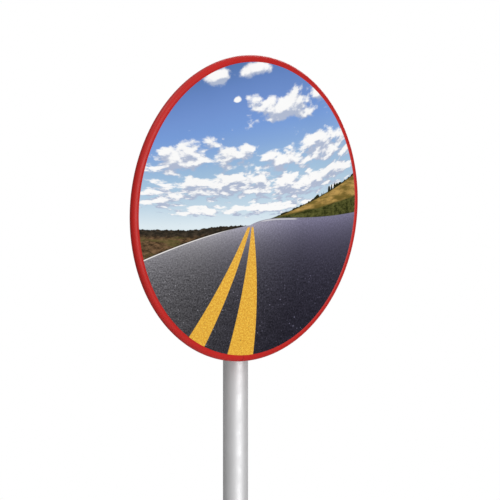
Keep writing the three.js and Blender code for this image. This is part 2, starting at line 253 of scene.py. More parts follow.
# Materials
def rgb(red, green, blue):
    # levels from 0 to 255, made linear
    levels = (red / 255, green / 255, blue / 255)
    return tuple(((c + 0.055) / 1.055) ** 2.4 if c > 0.04 else c / 12.92 for c in levels) + (1,)


def addNode(tree, kind, inputs=None, **settings):
    node = tree.nodes.new(kind)
    for key, value in settings.items():
        setattr(node, key, value)
    for key, value in (inputs or {}).items():
        fits = [s for i, s in enumerate(node.inputs) if key == i or key == s.name and s.enabled]
        if isinstance(value, bpy.types.NodeSocket):
            tree.links.new(value, fits[0])
        else:
            fits[0].default_value = value
    return node


def maths(tree, operation, *values):
    return addNode(tree, "ShaderNodeMath", dict(enumerate(values)), operation=operation).outputs[0]


def remap(tree, value, low, high, toLow=0.0, toHigh=1.0, smooth=True):
    inputs = {"Value": value, "From Min": low, "From Max": high, "To Min": toLow, "To Max": toHigh}
    way = "SMOOTHSTEP" if smooth else "LINEAR"
    return addNode(tree, "ShaderNodeMapRange", inputs, interpolation_type=way).outputs[0]


def mixed(tree, share, first, second):
    inputs = {0: share, 6: first, 7: second}
    return addNode(tree, "ShaderNodeMix", inputs, data_type="RGBA").outputs[2]


def noise(tree, where, scale, detail=3.0, roughness=0.5, distortion=0.0):
    inputs = {"Vector": where, "Scale": scale, "Detail": detail, "Roughness": roughness}
    inputs["Distortion"] = distortion
    return addNode(tree, "ShaderNodeTexNoise", inputs).outputs[0]


def stretched(tree, where, scale):
    return addNode(tree, "ShaderNodeMapping", {"Vector": where, "Scale": scale}).outputs[0]


def startMaterial(name):
    material = bpy.data.materials.new(name)
    material.use_nodes = True
    tree = material.node_tree
    where = addNode(tree, "ShaderNodeTexCoord").outputs["Object"]
    return material, tree, tree.nodes["Principled BSDF"], where


def relief(tree, shader, height, strength, distance):
    inputs = {"Height": height, "Strength": strength, "Distance": distance}
    bump = addNode(tree, "ShaderNodeBump", inputs)
    tree.links.new(bump.outputs[0], shader.inputs["Normal"])


def drive(tree, shader, **links):
    for name, value in links.items():
        tree.links.new(value, shader.inputs[name.replace("_", " ")])


def mouldedPlastic(name, base, shaded, roughness, grain):
    # through-coloured plastic: slow colour drift, fine mould grain and a trace of dust
    material, tree, shader, where = startMaterial(name)
    drift = noise(tree, where, 9, 4)
    dust = remap(tree, noise(tree, where, 160, 6, 0.7), 0.6, 0.78)
    colour = mixed(tree, drift, shaded, base)
    dusty = mixed(tree, maths(tree, "MULTIPLY", dust, 0.06), colour, rgb(214, 196, 186))
    rough = remap(tree, noise(tree, where, 60, 4), 0.3, 0.7, roughness - 0.05, roughness + 0.06)
    drive(tree, shader, Base_Color=dusty, Roughness=rough)
    shader.inputs["IOR"].default_value = 1.5
    shader.inputs["Specular IOR Level"].default_value = 0.28
    relief(tree, shader, noise(tree, where, 900, 2), grain, 0.0002)
    return material


def powderCoat(name, base, roughness, metal, peel):
    # sprayed and baked paint: faint orange peel, faint streaks and a little splash near the ground
    material, tree, shader, where = startMaterial(name)
    drift = noise(tree, stretched(tree, where, (14, 14, 2)), 1, 5, 0.6)
    darker = tuple(c * 0.86 for c in base[:3]) + (1,)
    paint = mixed(tree, remap(tree, drift, 0.3, 0.7), darker, base)
    height = addNode(tree, "ShaderNodeSeparateXYZ", {0: where}).outputs["Z"]
    low = remap(tree, height, 0.0, 0.28, 1, 0)
    splash = maths(tree, "MULTIPLY", low, remap(tree, noise(tree, where, 70, 6, 0.7), 0.48, 0.7))
    dirty = mixed(tree, maths(tree, "MULTIPLY", splash, 0.35), paint, rgb(128, 116, 100))
    rough = remap(tree, noise(tree, where, 45, 4), 0.3, 0.7, roughness - 0.05, roughness + 0.07)
    drive(tree, shader, Base_Color=dirty, Roughness=rough)
    shader.inputs["Metallic"].default_value = metal
    relief(tree, shader, noise(tree, where, 420, 2), peel, 0.0002)
    return material


def zincPlate():
    # bright plating with a slight straw tint in places and fine handling marks
    material, tree, shader, where = startMaterial("brightZinc")
    tint = remap(tree, noise(tree, where, 90, 5, 0.6), 0.35, 0.7)
    colour = mixed(tree, tint, rgb(206, 208, 212), rgb(196, 190, 172))
    marks = noise(tree, stretched(tree, where, (900, 900, 120)), 1, 3)
    rough = remap(tree, marks, 0.3, 0.7, 0.22, 0.4)
    drive(tree, shader, Base_Color=colour, Roughness=rough)
    shader.inputs["Metallic"].default_value = 1
    relief(tree, shader, marks, 0.12, 0.0001)
    return material


def linerRubber():
    material, tree, shader, where = startMaterial("linerRubber")
    bloom = remap(tree, noise(tree, where, 60, 5, 0.6), 0.4, 0.75)
    colour = mixed(tree, bloom, rgb(30, 30, 32), rgb(56, 55, 55))
    drive(tree, shader, Base_Color=colour, Roughness=remap(tree, bloom, 0, 1, 0.72, 0.9))
    relief(tree, shader, noise(tree, where, 700, 3), 0.3, 0.0002)
    return material


def capPlastic():
    material, tree, shader, where = startMaterial("capPlastic")
    drift = noise(tree, where, 40, 4)
    colour = mixed(tree, drift, rgb(34, 35, 38), rgb(50, 51, 54))
    drive(tree, shader, Base_Color=colour, Roughness=remap(tree, drift, 0.3, 0.7, 0.42, 0.58))
    relief(tree, shader, noise(tree, where, 1100, 2), 0.35, 0.0002)
    return material


def mirrorSilver():
    # sharp silvering; a few specks of dust scatter the light, the rest stays perfectly smooth
    material, tree, shader, where = startMaterial("mirrorSilver")
    specks = remap(tree, noise(tree, where, 420, 3, 0.6), 0.735, 0.76)
    film = remap(tree, noise(tree, where, 7, 5, 0.6), 0.35, 0.75)
    clean = mixed(tree, film, (0.94, 0.945, 0.95, 1), (0.905, 0.915, 0.92, 1))
    colour = mixed(tree, maths(tree, "MULTIPLY", specks, 0.35), clean, rgb(200, 198, 192))
    drive(tree, shader, Base_Color=colour, Roughness=maths(tree, "MULTIPLY", specks, 0.4))
    shader.inputs["Metallic"].default_value = 1
    return material


redEdge = mouldedPlastic("redEdge", rgb(178, 26, 20), rgb(162, 22, 18), 0.46, 0.05)
redShell = mouldedPlastic("redShell", rgb(174, 27, 22), rgb(158, 23, 19), 0.5, 0.25)
postPaint = powderCoat("postPaint", rgb(206, 206, 207), 0.56, 0.45, 0.06)
bracketPaint = powderCoat("bracketPaint", rgb(198, 199, 202), 0.46, 0.35, 0.12)
zinc = zincPlate()
rubber = linerRubber()
blackPlastic = capPlastic()
silver = mirrorSilver()
print("stage: materials made")


# Geometry Nodes trees
def startTree(name, inputs):
    tree = bpy.data.node_groups.new(name, "GeometryNodeTree")
    face = tree.interface
    face.new_socket("Geometry", in_out="OUTPUT", socket_type="NodeSocketGeometry")
    face.new_socket("Geometry", in_out="INPUT", socket_type="NodeSocketGeometry")
    for label, (kind, value) in inputs.items():
        socket = face.new_socket(label, in_out="INPUT", socket_type=kind)
        if value is not None:
            socket.default_value = value
    return tree, tree.nodes.new("NodeGroupInput"), tree.nodes.new("NodeGroupOutput")


def endTree(tree, ends, instances, given):
    real = addNode(tree, "GeometryNodeRealizeInstances", {"Geometry": instances})
    finish = addNode(tree, "GeometryNodeSetMaterial",
                     {"Geometry": real.outputs[0], "Material": given.outputs["Finish"]})
    tree.links.new(finish.outputs[0], ends.inputs[0])
    return tree


def grown(piece, tree, values, place, sharpAngle=32):
    # runs a tree on a piece and leaves a plain mesh in its place
    modifier = piece.modifiers.new("grown", "NODES")
    modifier.node_group = tree
    known = {s.name: s.identifier for s in tree.interface.items_tree if s.in_out == "INPUT"}
    for label, value in values.items():
        modifier[known[label]] = value
    settled(piece)
    piece.data.transform(place)
    shade(piece.data, sharpAngle)
    return piece


def copiesRoundTree():
    # copies of a shape, spread evenly round Z
    tree, given, ends = startTree("copiesRound", {
        "Count": ("NodeSocketInt", 8),
        "Finish": ("NodeSocketMaterial", None)})
    line = addNode(tree, "GeometryNodeMeshLine", {"Count": given.outputs["Count"], "Offset": (0, 0, 0)})
    step = maths(tree, "DIVIDE", 2 * math.pi, given.outputs["Count"])
    turn = maths(tree, "MULTIPLY", addNode(tree, "GeometryNodeInputIndex").outputs[0], step)
    rotation = addNode(tree, "ShaderNodeCombineXYZ", {"Z": turn}).outputs[0]
    copies = addNode(tree, "GeometryNodeInstanceOnPoints", {
        "Points": line.outputs[0], "Instance": given.outputs["Geometry"], "Rotation": rotation})
    return endTree(tree, ends, copies.outputs[0], given)


def copiesAtCornersTree():
    # one copy of a shape at each corner of a rectangle, the shape's Z staying up
    tree, given, ends = startTree("copiesAtCorners", {
        "Width": ("NodeSocketFloat", 100.0),
        "Height": ("NodeSocketFloat", 100.0),
        "Finish": ("NodeSocketMaterial", None)})
    grid = addNode(tree, "GeometryNodeMeshGrid", {
        "Size X": given.outputs["Width"], "Size Y": given.outputs["Height"],
        "Vertices X": 2, "Vertices Y": 2})
    turn = addNode(tree, "FunctionNodeRandomValue", {"Min": (0, 0, 0), "Max": (0, 0, 6.28), "Seed": 4},
                   data_type="FLOAT_VECTOR")
    copies = addNode(tree, "GeometryNodeInstanceOnPoints", {
        "Points": grid.outputs[0], "Instance": given.outputs["Geometry"], "Rotation": turn.outputs[0]})
    return endTree(tree, ends, copies.outputs[0], given)


def weldTree():
    # overlapping ripples of weld metal along a path
    tree, given, ends = startTree("weldAlongPath", {
        "Bead": ("NodeSocketFloat", 2.2),
        "Spacing": ("NodeSocketFloat", 1.3),
        "Seed": ("NodeSocketInt", 3),
        "Finish": ("NodeSocketMaterial", None)})
    path = addNode(tree, "GeometryNodeMeshToCurve", {"Mesh": given.outputs["Geometry"]})
    even = addNode(tree, "GeometryNodeResampleCurve", {
        "Curve": path.outputs[0], "Length": given.outputs["Spacing"]}, mode="LENGTH")
    drop = addNode(tree, "GeometryNodeMeshIcoSphere", {"Radius": given.outputs["Bead"], "Subdivisions": 2})
    size = addNode(tree, "FunctionNodeRandomValue", {
        "Min": (0.5, 0.88, 0.88), "Max": (0.62, 1.08, 1.08), "Seed": given.outputs["Seed"]},
        data_type="FLOAT_VECTOR")
    along = addNode(tree, "GeometryNodeInputTangent")
    facing = addNode(tree, "FunctionNodeAlignRotationToVector", {"Vector": along.outputs[0]}, axis="X")
    copies = addNode(tree, "GeometryNodeInstanceOnPoints", {
        "Points": even.outputs[0], "Instance": drop.outputs[0],
        "Rotation": facing.outputs[0], "Scale": size.outputs[0]})
    return endTree(tree, ends, copies.outputs[0], given)


def sweepTree():
    # a closed section carried round an arc, with the two ends capped
    tree, given, ends = startTree("sweptRound", {
        "Radius": ("NodeSocketFloat", 290.0),
        "Joint": ("NodeSocketFloat", 0.002),
        "Steps": ("NodeSocketInt", 240),
        "Finish": ("NodeSocketMaterial", None)})
    half = maths(tree, "MULTIPLY", given.outputs["Joint"], 0.5)
    sweep = maths(tree, "SUBTRACT", 2 * math.pi, given.outputs["Joint"])
    path = addNode(tree, "GeometryNodeCurveArc", {
        "Resolution": given.outputs["Steps"], "Radius": given.outputs["Radius"],
        "Start Angle": maths(tree, "SUBTRACT", half, math.pi / 2), "Sweep Angle": sweep})
    level = addNode(tree, "GeometryNodeSetCurveNormal", {"Curve": path.outputs[0]}, mode="Z_UP")
    section = addNode(tree, "GeometryNodeMeshToCurve", {"Mesh": given.outputs["Geometry"]})
    swept = addNode(tree, "GeometryNodeCurveToMesh", {
        "Curve": level.outputs[0], "Profile Curve": section.outputs[0], "Fill Caps": True})
    return endTree(tree, ends, swept.outputs[0], given)


copiesRound = copiesRoundTree()
copiesAtCorners = copiesAtCornersTree()
weldAlongPath = weldTree()
sweptRound = sweepTree()
print("stage: node trees made")


def welds(name, paths, place, finish, bead=2.2):
    # each path is a list of points and whether it closes
    vertices, edges = [], []
    for points, closed in paths:
        start = len(vertices)
        vertices += [tuple(p) for p in points]
        edges += [(start + i, start + i + 1) for i in range(len(points) - 1)]
        if closed:
            edges.append((len(vertices) - 1, start))
    mesh = bpy.data.meshes.new(name)
    mesh.from_pydata(vertices, edges, [])
    values = {"Bead": bead, "Spacing": bead * 0.6, "Seed": 3, "Finish": finish}
    return grown(link(name, mesh), weldAlongPath, values, place, 60)


# Fasteners. The face that bears on the work is at z = 0, the head above it.
sizes = {
    "m8": {"shank": 4, "flats": 13, "head": 5.3, "nut": 6.5, "pitch": 1.25, "washer": 8, "sheet": 1.6},
    "m10": {"shank": 5, "flats": 16, "head": 6.4, "nut": 8, "pitch": 1.5, "washer": 10, "sheet": 2},
    "m12": {"shank": 6, "flats": 18, "head": 7.5, "nut": 10.5, "pitch": 1.75, "washer": 12, "sheet": 2.5},
}
# where a hexagon's chamfer and faces end, as shares of the width across flats
hexagon = {"chamfer": 0.49, "face": 0.485, "bearing": 0.47}
# heights on a flange, from its rim up to the flats
flangeShape = {"ease": 0.25, "rim": 0.8, "bevel": 1.2, "top": 1.6}
thread = {"stepsPerTurn": 6, "depth": 0.9}
playGap = 0.3
chamferSlope = math.tan(math.radians(30))


def sixSided(flats, atFace, slope):
    # a hexagon whose edge is chamfered: height changes with how far the corner stands out
    def ring(angle):
        radius = flats / 2 / math.cos(angle % (math.pi / 3) - math.pi / 6)
        return radius, atFace + slope * max(0.0, radius - flats * hexagon["chamfer"])
    return ring


def plain(radius, height):
    return lambda angle: (radius, height)


def threadRings(size, top, bottom):
    # rings close enough together to follow the thread, which fades out at both ends
    rings = []
    count = int((top - bottom) / size["pitch"] * thread["stepsPerTurn"])
    for i in range(count + 1):
        height = top - (top - bottom) * i / count

        def ring(angle, height=height):
            phase = (height / size["pitch"] - angle / (2 * math.pi)) % 1
            fade = min(1, (height - bottom) / size["pitch"], (top - height) / size["pitch"])
            cut = thread["depth"] * size["pitch"] * abs(phase - 0.5) * max(fade, 0)
            return size["shank"] - cut, height
        rings.append(ring)
    return rings


def flangeRings(flats, flange):
    # from the bearing face, round the rim and up to the flats
    ease, rim = flangeShape["ease"], flangeShape["rim"]
    rings = [plain(flange - ease, 0), plain(flange, ease), plain(flange, rim)]
    return rings + [plain(flange - 0.5, flangeShape["bevel"]), plain(flats * 0.5, flangeShape["top"])]


def hexBolt(name, size, length, threaded, flange=0):
    # the thread runs down the last stretch of the shank, and a flange is given by its radius
    flats, shank = size["flats"], size["shank"]
    face, bearing = flats * hexagon["face"], flats * hexagon["bearing"]
    lift = flangeShape["top"] if flange else 0.4
    top = size["head"] + (1 if flange else 0)
    rings = [plain(0, top), plain(flats * 0.3, top), plain(face, top)]
    rings += [sixSided(flats, top, -chamferSlope), sixSided(flats, lift, 0)]
    if flange:
        rings += reversed(flangeRings(flats, flange))
    else:
        rings += [plain(bearing, lift), plain(bearing, 0.05), plain(flats * 0.46, 0)]
    rings += [plain(shank, 0), plain(shank, threaded - length)]
    rings += threadRings(size, threaded - length, 1 - length)
    rings += [plain(shank - 1, -length), plain(0, -length)]
    return ringed(name, rings, Matrix.Identity(4), 48)


def hexNut(name, size, flange=0):
    flats, high = size["flats"], size["nut"]
    face = flats * hexagon["face"]
    bore = size["shank"] + 0.02
    rings = [plain(bore + 0.5, 0)]
    if flange:
        rings += flangeRings(flats, flange)
        rings += [sixSided(flats, flangeShape["top"], 0)]
    else:
        rings += [plain(face, 0), sixSided(flats, 0, chamferSlope)]
    rings += [sixSided(flats, high, -chamferSlope), plain(face, high)]
    rings += [plain(bore + 0.5, high), plain(bore, high - 0.5), plain(bore, 0.5)]
    return ringed(name, rings, Matrix.Identity(4), 48, True)


def washerRing(name, size):
    hole = size["shank"] + playGap
    profile = [(hole, 0), (size["washer"], 0), (size["washer"], size["sheet"]), (hole, size["sheet"])]
    return turned(name, softened(profile, 0.3, steps=2), Matrix.Identity(4), 64)


def atFourCorners(piece, width, height, place):
    values = {"Width": float(width), "Height": float(height), "Finish": zinc}
    return grown(piece, copiesAtCorners, values, place)


# Post and foot
post = {"radius": 25.4, "wall": 2.5, "foot": 10.3, "top": 1700}


def makePost():
    inner = post["radius"] - post["wall"]
    profile = [(inner, post["foot"]), (post["radius"], post["foot"])]
    profile += [(post["radius"], post["top"]), (inner, post["top"])]
    tube = turned("postTube", softened(profile, 0.6), postPlace, 128)
    hand(tube, "post", "post_paint", postPaint, "post_tube")


cap = {"dome": ((0, 11.6), (9, 11), (17, 9.2), (22.4, 6.3), (25, 3.2), (25.4, 1.6), (25.4, 0)),
       "hollow": ((12, 7), (0, 8)), "depth": 18, "taper": 0.9, "wall": 2.2, "groove": 0.7}


def makeCap():
    # a dome on the tube's end, and below it a hollow plug with a groove round it
    plug = post["radius"] - post["wall"] - playGap
    seat = post["top"] + playGap
    groove = plug - cap["groove"]
    inner = plug - cap["wall"]
    outline = list(cap["dome"])
    outline += [(plug, 0), (plug, -4), (groove, -4.8), (groove, -8), (plug, -9), (plug, -13)]
    outline += [(plug - cap["taper"], -cap["depth"]), (inner, -cap["depth"]), (inner, 2)]
    outline += cap["hollow"]
    profile = [(radius, seat + height) for radius, height in outline]
    plugged = turned("postCap", softened(profile, 0.5, closed=False), postPlace, 128, False)
    hand(plugged, "post", "black_plastic", blackPlastic, "post_cap")


foot = {"side": 200, "thick": 10, "corner": 12, "anchorSpacing": 150, "anchorHole": 9}


def makeFoot():
    half = foot["anchorSpacing"] / 2
    holes = [circleOutline(foot["anchorHole"], (x * half, y * half), 48) for x, y in fourCorners]
    plate = sheet("basePlate", rectangle(foot["side"], foot["side"], foot["corner"]), holes,
                  foot["thick"], postPlace, 0.9)
    hand(plate, "post", "post_paint", postPaint, "base_plate")


ribPlate = {"root": 25.7, "reach": 88, "toe": 10, "head": 10, "high": 95, "thick": 6}


def makeGussets():
    low = post["foot"]
    root, reach, high = ribPlate["root"], ribPlate["reach"], ribPlate["high"]
    outline = [(root, low), (reach, low), (reach, low + ribPlate["toe"])]
    outline += [(root + ribPlate["head"], high), (root, high)]
    onEdge = Matrix.Translation((0, ribPlate["thick"] / 2, 0)) @ toFront
    one = sheet("footGussets", softened(outline, 4), [], ribPlate["thick"], onEdge, 0)
    four = grown(one, copiesRound, {"Count": 4, "Finish": postPaint}, postPlace)
    eased(four, 0.6)
    hand(four, "post", "post_paint", postPaint, "gusset_1", "gusset_2", "gusset_3", "gusset_4")


def makeFootWelds():
    # round the tube, along both sides of each gusset's foot and up both sides of its root
    low = post["foot"]
    side = ribPlate["thick"] / 2 + 0.6
    paths = [([(x, y, low + 0.4) for x, y in circleOutline(post["radius"] + 0.5, steps=96)], True)]
    for quarter in range(4):
        turn = Matrix.Rotation(quarter * math.pi / 2, 4, "Z")
        for y in (-side, side):
            run = [(28, y, low + 0.4), (ribPlate["reach"] - 3, y, low + 0.4)]
            rise = [(post["radius"] + 0.4, y, low + 3), (post["radius"] + 0.4, y, ribPlate["high"] - 3)]
            paths += [([turn @ Vector(p) for p in line], False) for line in (run, rise)]
    hand(welds("footWelds", paths, postPlace, postPaint), "post", "post_paint", postPaint)


makePost()
makeCap()
makeFoot()
makeGussets()
makeFootWelds()
print("stage: post and foot made")


# Clamp and arm, about the post's axis at the clamp's middle, the arm running to -Y
clamp = {"inner": 28.5, "outer": 33.5, "half": 40, "earTip": 62, "split": 1.5, "ear": 5,
         "boltX": 48, "boltZ": 22, "hole": 5.3, "flange": 10.5}
liner = {"inner": 25.7, "outer": 28.2, "half": 42, "slit": 3}


def clampHalf(name, turn):
    earBack = clamp["split"] + clamp["ear"]
    lean = math.degrees(math.asin(earBack / clamp["outer"]))
    split = math.degrees(math.asin(clamp["split"] / clamp["inner"]))
    outline = arc(clamp["outer"], 180 + lean, 360 - lean, 64)
    outline += [(clamp["earTip"], -earBack), (clamp["earTip"], -clamp["split"])]
    outline += arc(clamp["inner"], 360 - split, 180 + split, 64)
    outline += [(-clamp["earTip"], -clamp["split"]), (-clamp["earTip"], -earBack)]
    place = armPlace @ turn
    half = sheet(name, softened(outline, 1.6), [], 2 * clamp["half"],
                 place @ Matrix.Translation((0, 0, -clamp["half"])), 0)
    rods = []
    for x, z in fourCorners:
        spot = Matrix.Translation((x * clamp["boltX"], 0, z * clamp["boltZ"])) @ toFront
        rods.append(rod(clamp["hole"], -2, 40, place @ spot, 32))
    return eased(combined(half, rods, "DIFFERENCE"), 0.6)


def makeClamp():
    front = clampHalf("clampFront", Matrix.Identity(4))
    hand(front, "clamp", "bracket_paint", bracketPaint, "clamp_front")
    rear = clampHalf("clampRear", Matrix.Rotation(math.pi, 4, "Z"))
    hand(rear, "clamp", "bracket_paint", bracketPaint, "clamp_rear")
    bearing = clamp["split"] + clamp["ear"] + playGap
    width, height = 2 * clamp["boltX"], 2 * clamp["boltZ"]
    bolts = atFourCorners(hexBolt("clampBolts", sizes["m10"], 27, 18, clamp["flange"]), width, height,
                          armPlace @ Matrix.Translation((0, -bearing, 0)) @ toFront)
    hand(bolts, "clamp", "zinc_steel", zinc, *[f"clamp_bolt_{i}" for i in range(1, 5)])
    nuts = atFourCorners(hexNut("clampNuts", sizes["m10"], clamp["flange"]), width, height,
                         armPlace @ Matrix.Translation((0, bearing, 0)) @ toBack)
    hand(nuts, "clamp", "zinc_steel", zinc, *[f"clamp_nut_{i}" for i in range(1, 5)])


def makeLiner():
    slit = math.degrees(math.asin(liner["slit"] / 2 / liner["outer"]))
    outline = arc(liner["outer"], 90 + slit, 450 - slit, 110)
    outline += arc(liner["inner"], 450 - slit, 90 + slit, 110)
    sleeve = sheet("clampLiner", softened(outline, 0.6), [], 2 * liner["half"],
                   armPlace @ Matrix.Translation((0, 0, -liner["half"])), 0.5)
    hand(sleeve, "liner", "rubber_liner", rubber, "clamp_liner")


arm = {"width": 20, "height": 40, "wall": 2.5, "corner": 4, "barrel": 13, "barrelHalf": 24.7}
barrelPlace = armPlace @ Matrix.Translation((0, -armReach, 0))


def makeArm():
    # a square tube whose ends are hollowed out to sit against the clamp and the barrel
    width, height, wall = arm["width"], arm["height"], arm["wall"]
    start, end = clamp["inner"], armReach - 3
    along = armPlace @ Matrix.Translation((0, -start, 0)) @ toFront
    inside = rectangle(width - 2 * wall, height - 2 * wall, arm["corner"] - 2)
    tube = sheet("swivelArm", rectangle(width, height, arm["corner"]), [inside], end - start, along, 0)
    rods = [rod(clamp["outer"] + playGap, -60, 60, armPlace, 160)]
    rods.append(rod(arm["barrel"] + playGap, -60, 60, barrelPlace, 96))
    combined(tube, rods, "DIFFERENCE")
    hand(tube, "clamp", "bracket_paint", bracketPaint, "swivel_arm")


def makeBarrel():
    bore = sizes["m12"]["shank"] + playGap
    half = arm["barrelHalf"]
    profile = [(bore, -half), (arm["barrel"], -half), (arm["barrel"], half), (bore, half)]
    barrel = turned("swivelBarrel", softened(profile, 0.9), barrelPlace)
    hand(barrel, "clamp", "bracket_paint", bracketPaint, "swivel_barrel")


strut = {"low": 38, "reach": 44, "toe": 4, "thick": 5}


def makeStrut():
    root = -clamp["outer"] - playGap
    top = -arm["height"] / 2 - playGap
    low = -strut["low"]
    outline = [(root, top), (root, low), (root - strut["toe"], low), (root - strut["reach"], top)]
    stand = Matrix.Rotation(math.pi / 2, 4, "Z") @ Matrix.Rotation(math.pi / 2, 4, "X")
    place = armPlace @ Matrix.Translation((-strut["thick"] / 2, 0, 0)) @ stand
    plate = sheet("armGusset", softened(outline, 2), [], strut["thick"], place, 0.6)
    hand(plate, "clamp", "bracket_paint", bracketPaint, "arm_gusset")


def makeArmWelds():
    # round both ends of the arm, and along the strut's root and top
    loop = rectangle(arm["width"] + 1, arm["height"] + 1, arm["corner"])
    atClamp = [(x, -math.sqrt((clamp["outer"] + 0.6) ** 2 - x * x), z) for x, z in loop]
    atBarrel = [(x, math.sqrt((arm["barrel"] + 0.6) ** 2 - x * x) - armReach, z) for x, z in loop]
    side = strut["thick"] / 2 + 0.5
    root = -clamp["outer"] - 0.5
    top = -arm["height"] / 2
    paths = [(atClamp, True), (atBarrel, True)]
    for x in (-side, side):
        paths.append(([(x, root, 1 - strut["low"]), (x, root, top - 2)], False))
        paths.append(([(x, root - 2, top - 0.4), (x, root - strut["reach"] + 4, top - 0.4)], False))
    hand(welds("armWelds", paths, armPlace, bracketPaint, 1.9), "clamp", "bracket_paint", bracketPaint)


makeClamp()
makeLiner()
makeArm()
makeBarrel()
makeStrut()
makeArmWelds()
print("stage: clamp and arm made")


# Yoke, about the swivel axis
yoke = {"halfWidth": 33, "halfHeight": 30, "plate": 5, "corner": 3, "tiltAhead": 14, "webRear": 25,
        "tiltEar": 12, "swivelEar": 15, "lugRoot": 24, "overlap": 2}
onItsSide = Matrix.Rotation(-math.pi / 2, 4, "Y")  # X goes up, and Z to -X


def lug(halfRoot, reach, endRadius):
    # narrows from a straight edge at y = -reach to a round end about the origin
    return [(-halfRoot, -reach), (halfRoot, -reach)] + arc(endRadius, 0, 180, 40)


def makeYoke():
    # an upright web, two lugs for the swivel bolt behind it and two flanges for the tilt bolts
    wide, high, thick = yoke["halfWidth"], yoke["halfHeight"], yoke["plate"]
    web = sheet("yokePlate", rectangle(2 * wide, 2 * high, yoke["corner"]), [], thick,
                yokePlace @ Matrix.Translation((0, -yoke["webRear"], 0)) @ toFront, 0)
    pieces = []
    swivelLug = lug(yoke["lugRoot"], yoke["webRear"] + yoke["overlap"], yoke["swivelEar"])
    for z in (high - thick, -high):
        place = yokePlace @ Matrix.Translation((0, 0, z))
        pieces.append(sheet("lug", swivelLug, [], thick, place, 0))
    tiltLug = lug(high, yoke["webRear"] + yoke["overlap"] - yoke["tiltAhead"], yoke["tiltEar"])
    for x in (wide, thick - wide):
        place = yokePlace @ Matrix.Translation((x, -yoke["tiltAhead"], 0)) @ onItsSide
        pieces.append(sheet("flange", tiltLug, [], thick, place, 0))
    combined(web, pieces, "UNION")
    swivelRod = rod(sizes["m12"]["shank"] + playGap, -40, 40, yokePlace, 48)
    tiltRod = rod(sizes["m10"]["shank"] + playGap, -50, 50,
                  yokePlace @ Matrix.Translation((0, -yoke["tiltAhead"], 0)) @ onItsSide, 48)
    combined(web, [swivelRod, tiltRod], "DIFFERENCE")
    hand(eased(web, 0.7), "yoke", "bracket_paint", bracketPaint, "yoke")


def makeSwivelBolt():
    size = sizes["m12"]
    lugFace = yoke["halfHeight"] + playGap
    seat = lugFace + size["sheet"] + playGap
    for label, z in (("Top", lugFace), ("Bottom", -lugFace - size["sheet"])):
        ring = washerRing(f"swivelWasher{label}", size)
        ring.data.transform(yokePlace @ Matrix.Translation((0, 0, z)))
        hand(ring, "yoke", "zinc_steel", zinc, f"swivel_washer_{label.lower()}")
    bolt = hexBolt("swivelBolt", size, 2 * seat + 16, 24)
    bolt.data.transform(yokePlace @ Matrix.Translation((0, 0, seat)))
    hand(bolt, "yoke", "zinc_steel", zinc, "swivel_bolt")
    nut = hexNut("swivelNut", size)
    nut.data.transform(yokePlace @ Matrix.Translation((0, 0, -seat)) @ Matrix.Rotation(math.pi, 4, "X"))
    hand(nut, "yoke", "zinc_steel", zinc, "swivel_nut")


def makeTiltBolts():
    size = sizes["m10"]
    washerFace = yoke["halfWidth"] + 0.5 + yoke["plate"] + playGap
    headFace = washerFace + size["sheet"] + playGap
    nutFace = yoke["halfWidth"] - yoke["plate"] - playGap
    for side, way in (("left", -1), ("right", 1)):
        def atSide(x, facing, way=way):
            out = Matrix.Rotation(way * facing * math.pi / 2, 4, "Y")
            return yokePlace @ Matrix.Translation((way * x, -yoke["tiltAhead"], 0)) @ out
        title = side.capitalize()
        ring = washerRing(f"tiltWasher{title}", size)
        ring.data.transform(atSide(washerFace, 1))
        hand(ring, "yoke", "zinc_steel", zinc, f"tilt_washer_{side}")
        bolt = hexBolt(f"tiltBolt{title}", size, headFace - 17.5, 14)
        bolt.data.transform(atSide(headFace, 1))
        hand(bolt, "yoke", "zinc_steel", zinc, f"tilt_bolt_{side}")
        nut = hexNut(f"tiltNut{title}", size)
        nut.data.transform(atSide(nutFace, -1))
        hand(nut, "yoke", "zinc_steel", zinc, f"tilt_nut_{side}")


makeYoke()
makeSwivelBolt()
makeTiltBolts()
print("stage: yoke made")


# Mirror head, about the middle of the edge bead's plane
lens = {"sphere": 1400, "edge": 293.5, "lip": 287.4, "thick": 3, "rings": 72, "steps": 240}
bead = {"radius": 9, "circle": 291, "slotFloor": 294.2, "flangeDepth": -0.7, "joint": 0.8}


def lensFront(radius):
    dome = math.sqrt(lens["sphere"] ** 2 - radius ** 2)
    lipDome = math.sqrt(lens["sphere"] ** 2 - lens["lip"] ** 2)
    lipFront = math.sqrt(bead["radius"] ** 2 - (bead["circle"] - lens["lip"]) ** 2) - playGap
    return lipFront + dome - lipDome


def makeLens():
    spots = [lens["edge"] * i / lens["rings"] for i in range(lens["rings"] + 1)]
    front = [(r, lensFront(r)) for r in spots]
    back = [(r, height - lens["thick"]) for r, height in front[::6]]
    mirror = turned("mirrorLens", front + back[::-1], headPlace @ toFront, lens["steps"], False)
    hand(mirror, "mirror_head", "mirror_face", silver, "mirror_lens")
    return mirror


